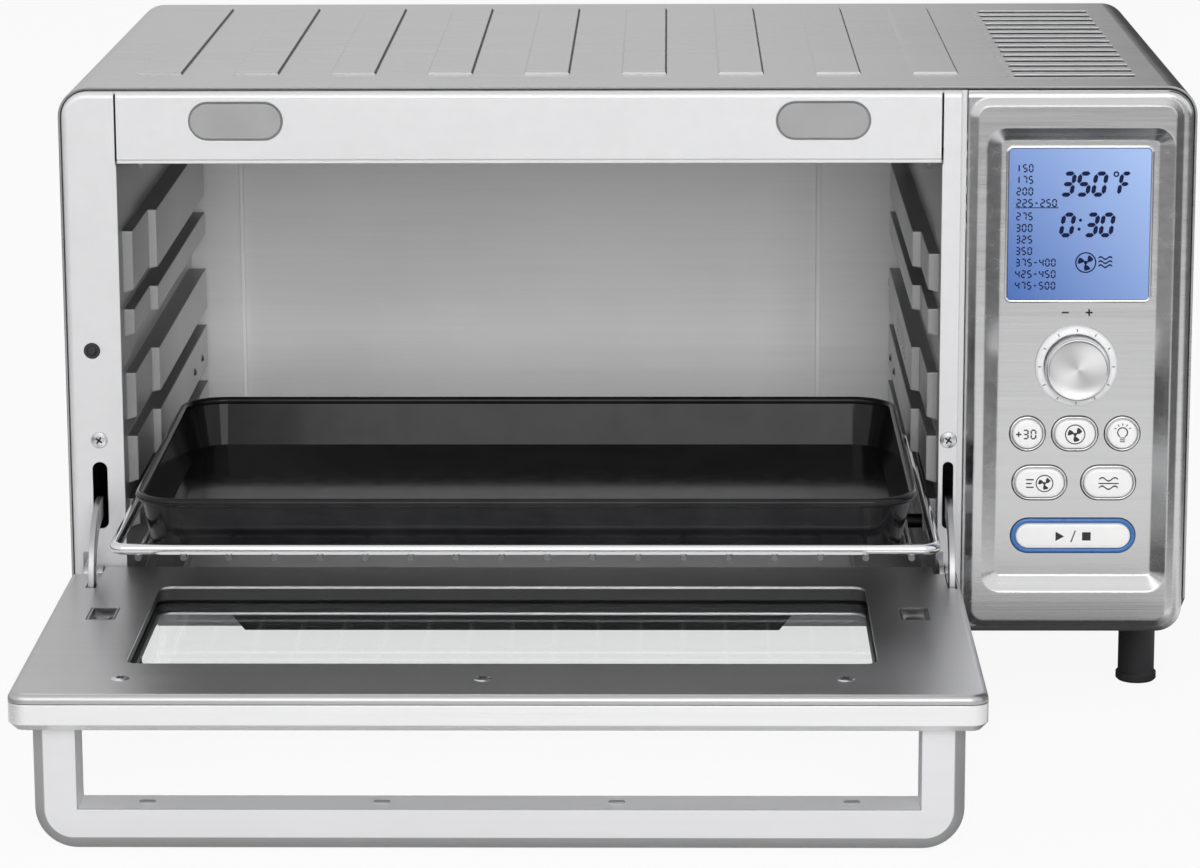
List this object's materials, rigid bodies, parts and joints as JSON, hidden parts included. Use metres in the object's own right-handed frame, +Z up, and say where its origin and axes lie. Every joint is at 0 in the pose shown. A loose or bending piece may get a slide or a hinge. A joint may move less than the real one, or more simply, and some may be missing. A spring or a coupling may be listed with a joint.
{
  "type": "convection toaster oven",
  "caption": "Countertop convection oven with a drop-down glass door and loop handle, pull-out wire rack with baking pan, crumb tray, display, selector knob and push buttons.",
  "frame": {"origin": "on the table, under the middle of the oven with its door open", "axes": "+X to the right seen from the front, +Y from the front to the back, +Z up"},
  "size_m": [0.5234, 0.556, 0.2989],
  "materials": {
    "brushed_case": "brushed",
    "back_sheet": "satin",
    "front_silver": "satin",
    "panel_steel": "brushed",
    "liner_steel": "satin",
    "door_steel": "brushed",
    "door_skin": "brushed",
    "handle_silver": "matte",
    "trim_grey": "matte",
    "bright_wire": "polished",
    "fastener": "polished",
    "hinge_steel": "satin",
    "black_enamel": "gloss",
    "tray_steel": "satin",
    "black_plastic": "matte",
    "foot_rubber": "matte",
    "seal_rubber": "matte",
    "door_glass": "clear",
    "lamp_glass": "clear",
    "display_blue": "gloss",
    "button_white": "gloss",
    "ring_blue": "gloss",
    "knob_silver": "turned",
    "heater_rod": "matte",
    "ceramic": "matte",
    "board_green": "satin",
    "motor_steel": "satin"
  },
  "bodies": {
    "housing": {"outer_wrapper": "brushed_case", "back_panel": "back_sheet", "bottom_pan": "back_sheet", "front_frame": "front_silver", "header_panel": "front_silver", "header_bumpers": "trim_grey", "control_panel": "panel_steel", "liner_left": "liner_steel", "liner_right": "liner_steel", "liner_back": "liner_steel", "liner_top": "liner_steel", "tray_rails": "liner_steel", "upper_elements": "heater_rod", "lower_elements": "heater_rod", "element_insulators": "ceramic", "lamp_socket": "ceramic", "lamp_bulb": "lamp_glass", "lamp_cover": "lamp_glass", "fan_motor": "motor_steel", "motor_bracket": "back_sheet", "temperature_probe": "hinge_steel", "control_board": "board_green", "display_module": "black_plastic", "display_window": "display_blue", "dial_ring": "button_white", "encoder": "black_plastic", "button_rings": "fastener", "start_ring": "ring_blue", "feet": "foot_rubber", "hinge_brackets": "hinge_steel", "hinge_pins": "hinge_steel", "switch_bush": "black_plastic", "frame_screws": "fastener", "case_screws": "fastener", "cord_gland": "black_plastic", "rear_spacers": "foot_rubber"},
    "door": {"door_outer_panel": "door_skin", "door_inner_panel": "door_steel", "door_glass": "door_glass", "glass_gasket": "seal_rubber", "door_handle": "handle_silver", "handle_plugs": "trim_grey", "hinge_arms": "hinge_steel", "rack_hooks": "hinge_steel", "door_screws": "fastener"},
    "rack": {"wire_rack": "bright_wire"},
    "pan": {"baking_pan": "black_enamel"},
    "tray": {"crumb_tray": "tray_steel", "tray_grip": "black_plastic"},
    "selector": {"selector_knob": "knob_silver", "selector_shaft": "hinge_steel"},
    "fan": {"fan_wheel": "motor_steel", "fan_shaft": "hinge_steel"},
    "plunger": {"switch_plunger": "black_plastic"},
    "timer_key": {"timer_button": "button_white"},
    "convection_key": {"convection_button": "button_white"},
    "lamp_key": {"lamp_button": "button_white"},
    "speed_key": {"speed_button": "button_white"},
    "dual_key": {"dual_button": "button_white"},
    "start_key": {"start_button": "button_white"}
  },
  "joints": [
    {"name": "door_hinge", "type": "hinge", "parent": "housing", "child": "door", "pos_m": [-0.0527, -0.0595, 0.069], "axis": [-1, 0, 0], "range_deg": [0, 90]},
    {"name": "rack_slide", "type": "slide", "parent": "housing", "child": "rack", "axis": [0, 1, 0], "range_m": [0, 0.1632]},
    {"name": "pan_lift", "type": "slide", "parent": "rack", "child": "pan", "axis": [0, 0, 1], "range_m": [0, 0.08]},
    {"name": "tray_slide", "type": "slide", "parent": "housing", "child": "tray", "axis": [0, -1, 0], "range_m": [0, 0.24]},
    {"name": "selector_turn", "type": "hinge", "parent": "housing", "child": "selector", "pos_m": [0.2083, -0.054, 0.1675], "axis": [0, -1, 0], "continuous": true},
    {"name": "fan_spin", "type": "hinge", "parent": "housing", "child": "fan", "pos_m": [0.16, 0.111, 0.165], "axis": [1, 0, 0], "continuous": true},
    {"name": "plunger_press", "type": "slide", "parent": "housing", "child": "plunger", "axis": [0, 1, 0], "range_m": [0, 0.002], "stiffness_N_per_m": 300},
    {"name": "timer_press", "type": "slide", "parent": "housing", "child": "timer_key", "axis": [0, 1, 0], "range_m": [0, 0.0015], "stiffness_N_per_m": 400},
    {"name": "convection_press", "type": "slide", "parent": "housing", "child": "convection_key", "axis": [0, 1, 0], "range_m": [0, 0.0015], "stiffness_N_per_m": 400},
    {"name": "lamp_press", "type": "slide", "parent": "housing", "child": "lamp_key", "axis": [0, 1, 0], "range_m": [0, 0.0015], "stiffness_N_per_m": 400},
    {"name": "speed_press", "type": "slide", "parent": "housing", "child": "speed_key", "axis": [0, 1, 0], "range_m": [0, 0.0015], "stiffness_N_per_m": 400},
    {"name": "dual_press", "type": "slide", "parent": "housing", "child": "dual_key", "axis": [0, 1, 0], "range_m": [0, 0.0015], "stiffness_N_per_m": 400},
    {"name": "start_press", "type": "slide", "parent": "housing", "child": "start_key", "axis": [0, 1, 0], "range_m": [0, 0.0015], "stiffness_N_per_m": 400}
  ],
  "couplings": [
    {"joint": "rack_slide", "follows": "door_hinge", "m_per_rad": 0.10377}
  ]
}
